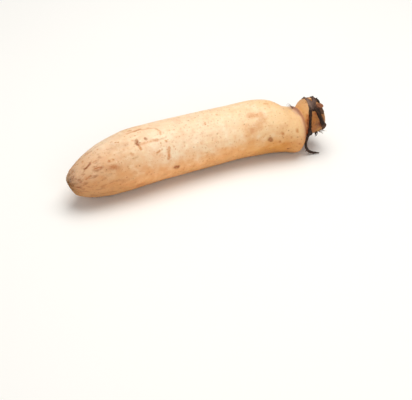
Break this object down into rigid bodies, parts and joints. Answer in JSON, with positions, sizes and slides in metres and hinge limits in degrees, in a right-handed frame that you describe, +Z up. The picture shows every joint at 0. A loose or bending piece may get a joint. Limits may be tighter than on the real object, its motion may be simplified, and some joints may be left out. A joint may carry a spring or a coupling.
{
  "type": "lotus root segment",
  "caption": "Whole lotus root segment lying on its side: a plump curved internode with a rounded shoulder, a short neck and a node ringed by dried sheath and hanging roots.",
  "frame": {"origin": "middle of the root's outline, on the surface that it lies on", "axes": "+X along the root towards the node with the roots, +Z up, -Y the hollow side of its bend"},
  "size_m": [0.251, 0.0632, 0.0542],
  "materials": {
    "rhizome_skin": "smooth satin skin, pale cream to tan, with fine brown specks and scars",
    "dried_sheath": "dry fibrous sheath and roots, near black"
  },
  "bodies": {
    "root": {"rhizome": "rhizome_skin", "dried_sheath_and_roots": "dried_sheath"}
  },
  "joints": []
}
